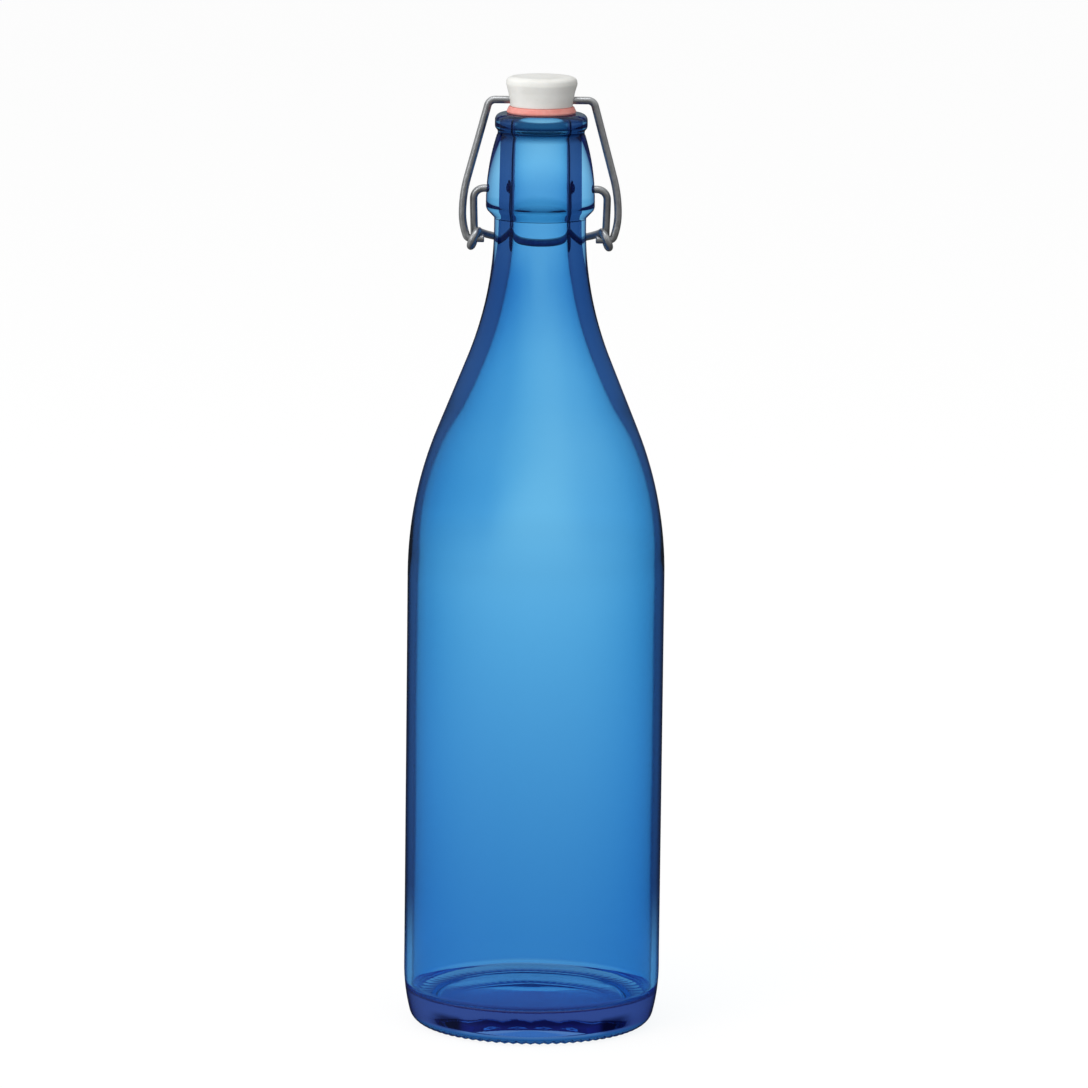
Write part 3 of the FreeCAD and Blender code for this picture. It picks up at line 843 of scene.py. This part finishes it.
def studio_field():
    """Node group: brightness seen along a direction, in the camera's own axes.

    Looking on through the glass the field is white near the line of sight and
    dark beyond it, which is how clear glass is lit so that its edges draw dark.
    """
    group = bpy.data.node_groups.new("studio_field", "ShaderNodeTree")
    group.interface.new_socket("Direction", in_out="INPUT", socket_type="NodeSocketVector")
    for name in ("Through", "Mirror", "Fill"):
        group.interface.new_socket(name, in_out="OUTPUT", socket_type="NodeSocketColor")
    t = Shader(group)
    view = t.add("ShaderNodeVectorTransform", {"Vector": t.add("NodeGroupInput")},
                 vector_type="VECTOR", convert_from="WORLD", convert_to="CAMERA")
    x, y, z = t.axes(t.add("ShaderNodeVectorMath", {0: view}, operation="NORMALIZE"))
    degrees = t.product(t.math("ARCCOSINE", z), 180.0 / math.pi)
    through = t.mix(t.fall(degrees, over=(45.0, 110.0)), FIELD_EDGE, (1.0, 1.0, 1.0, 1))
    # reflections: dim surroundings, brighter above, to the left and behind the camera
    top = t.ramp(y, over=(-0.05, 0.75), to=(0.0, 0.65))
    left = t.ramp(x, over=(-0.35, -0.85), to=(0.0, 0.30))
    behind = t.ramp(z, over=(0.2, -0.7), to=(0.0, 0.10))
    ambient = 0.10
    level = t.math("ADD", t.math("ADD", top, left), t.math("ADD", behind, ambient))
    mirror = t.scaled(t.mix(1.0, (0, 0, 0, 1), WHITE), level)
    # diffuse light: even, a little stronger from above and from the left
    even, from_above, from_right = 0.62, 0.20, -0.26
    fill = t.math("ADD", even, t.weighted_sum((y, from_above), (x, from_right)))
    t.add("NodeGroupOutput", {0: through, 1: mirror, 2: t.scaled((1.0, 1.0, 1.0), fill)})
    return group


def field_colour(t, field, direction):
    """Colour of the field for the kind of ray that asks, and the ray kinds."""
    group = t.add("ShaderNodeGroup", node_tree=field)
    t.tree.links.new(direction, group.inputs[0])
    rays = t.add("ShaderNodeLightPath").outputs
    colour = t.mix(rays["Is Transmission Ray"], group.outputs["Mirror"],
                   group.outputs["Through"])
    return t.mix(rays["Is Diffuse Ray"], colour, group.outputs["Fill"]), rays


def build_world(field):
    world = bpy.data.worlds.new("studio")
    scene.world = world
    world.use_nodes = True
    t = Shader(world.node_tree)
    direction = t.add("ShaderNodeTexCoord").outputs["Generated"]
    colour, rays = field_colour(t, field, direction)
    colour = t.mix(rays["Is Camera Ray"], colour, BACKDROP)
    back = t.add("ShaderNodeBackground", {"Color": colour, "Strength": 1.0})
    t.add("ShaderNodeOutputWorld", {"Surface": back})


def floor_material(field):
    mat, t = material("pale_floor")
    geometry = t.add("ShaderNodeNewGeometry").outputs
    colour, rays = field_colour(t, field, t.scaled(geometry["Incoming"], -1.0))
    # through the glass the floor is painted dimmer close to the bottle, a painted contact shadow,
    # but for a painted lighter ring around the foot
    reach = t.axis_distance(geometry["Position"])
    level = t.ramp(reach, over=(0.05, 1.0), to=(0.72, 1.0), smooth=False)
    level = t.math("MAXIMUM", level, t.ramp(reach, over=(0.052, 0.072), to=(0.80, 0.0)))
    level = t.math("MAXIMUM", level, t.invert(rays["Is Transmission Ray"]))
    dimmed = t.scaled(colour, level)
    # painted shadow: under the foot the floor seen through the glass is painted dark
    under = t.product(t.fall(reach, over=(0.032, 0.040)), rays["Is Transmission Ray"])
    glow = t.add("ShaderNodeEmission", {
        "Color": t.mix(under, dimmed, FOOT_SHADE), "Strength": 1.0})
    # the camera sees mostly even light, with a share of paper that takes shadows
    paper_share = 0.20
    paper = t.add("ShaderNodeBsdfDiffuse", {"Color": (0.88, 0.88, 0.88, 1), "Roughness": 0.5})
    even = t.add("ShaderNodeEmission", {"Color": BACKDROP, "Strength": 1.07})
    seen = t.add("ShaderNodeMixShader", {0: paper_share, 1: even, 2: paper})
    surface = t.add("ShaderNodeMixShader", {0: rays["Is Camera Ray"], 1: glow, 2: seen})
    t.add("ShaderNodeOutputMaterial", {"Surface": surface})
    return mat


def build_floor(field):
    half, gap = 14, 0.00002     # metres: half the floor's width, gap under the bottle
    surface = floor_material(field)
    corners = [(-half, -half, 0), (half, -half, 0), (half, half, 0), (-half, half, 0)]
    floor = new_object("studio_floor", corners, [(0, 1, 2, 3)])
    floor.location.z = GLASS_BOTTOM - gap
    floor.data.materials.append(surface)


# name, place, height aimed at on the axis, width and height in metres, watts, wires only
LIGHTS = [
    ("key_left", (-1.2, -1.5, 1.1), 0.24, (0.9, 0.9), 17.0, False),
    ("fill_right", (1.3, -1.1, 0.7), 0.2, (0.9, 1.1), 1.0, False),
    ("wire_left", (-1.1, -1.0, 0.9), 0.285, (0.5, 0.9), 4.0, True),
    ("wire_top", (-0.2, -0.3, 1.5), 0.285, (0.9, 0.7), 4.6, True),
    ("wire_front", (0.35, -2.2, 0.75), 0.285, (0.9, 0.7), 1.3, True),
    ("wire_right", (1.2, -0.5, 0.5), 0.285, (0.25, 0.8), 0.5, True),
    ("top_soft", (0.0, 0.3, 1.7), 0.2, (1.4, 1.2), 3.0, False),
]


def build_lights(wires):
    """Area lights; those for the wires only also show in the wires' reflections."""
    receivers = bpy.data.collections.new("closure_wires")
    for wire in wires:
        receivers.objects.link(wire)
    for name, place, aim_height, size, power, wires_only in LIGHTS:
        data = bpy.data.lights.new(name, "AREA")
        data.shape = "RECTANGLE"
        data.size, data.size_y = size
        data.energy = power
        lamp = bpy.data.objects.new(name, data)
        lamp.location = place
        way = Vector((0, 0, aim_height)) - Vector(place)
        lamp.rotation_euler = way.to_track_quat("-Z", "Y").to_euler()
        lamp.visible_glossy = wires_only
        lamp.visible_transmission = False
        lamp.visible_camera = False
        scene.collection.objects.link(lamp)
        if wires_only:
            lamp.light_linking.receiver_collection = receivers


def build_camera():
    """A long lens in front of the bottle, looking slightly down."""
    place = (0.0, -2.4006, 0.5633)
    pitch, roll, yaw = math.radians(9.51), math.radians(0.679), math.radians(-0.06)
    data = bpy.data.cameras.new("camera")
    data.sensor_width = 36.0
    data.lens = 243.7
    data.clip_start = 0.05
    data.clip_end = 60.0
    camera = bpy.data.objects.new("camera", data)
    scene.collection.objects.link(camera)
    spin = Matrix.Rotation(yaw, 3, "Z")
    forward = spin @ Vector((0, math.cos(pitch), -math.sin(pitch)))
    up = spin @ Vector((0, math.sin(pitch), math.cos(pitch)))
    right = spin @ Vector((1, 0, 0))
    rolled_right = right * math.cos(roll) + up * math.sin(roll)
    rolled_up = up * math.cos(roll) - right * math.sin(roll)
    matrix = Matrix((rolled_right, rolled_up, -forward)).transposed().to_4x4()
    matrix.translation = Vector(place)
    camera.matrix_world = matrix
    scene.camera = camera


def set_render():
    scene.view_settings.view_transform = "Standard"
    scene.view_settings.look = "None"
    scene.cycles.max_bounces = 24
    scene.cycles.transmission_bounces = 20
    scene.cycles.glossy_bounces = 20
    scene.cycles.transparent_max_bounces = 24
    scene.cycles.volume_bounces = 0


glass_mat = glass_material()
stopper_mat = surface_material("stopper_offwhite", stopper_surface)
gasket_mat = surface_material("gasket_coral_rubber", gasket_surface)
wire_mat = surface_material("galvanised_wire", wire_surface)

build_bottle(glass_mat)
build_cap(stopper_mat)
build_ring(gasket_mat)
wires = [build_bail(wire_mat), build_lever(wire_mat)]

field = studio_field()
build_world(field)
build_floor(field)
build_lights(wires)
build_camera()
set_render()
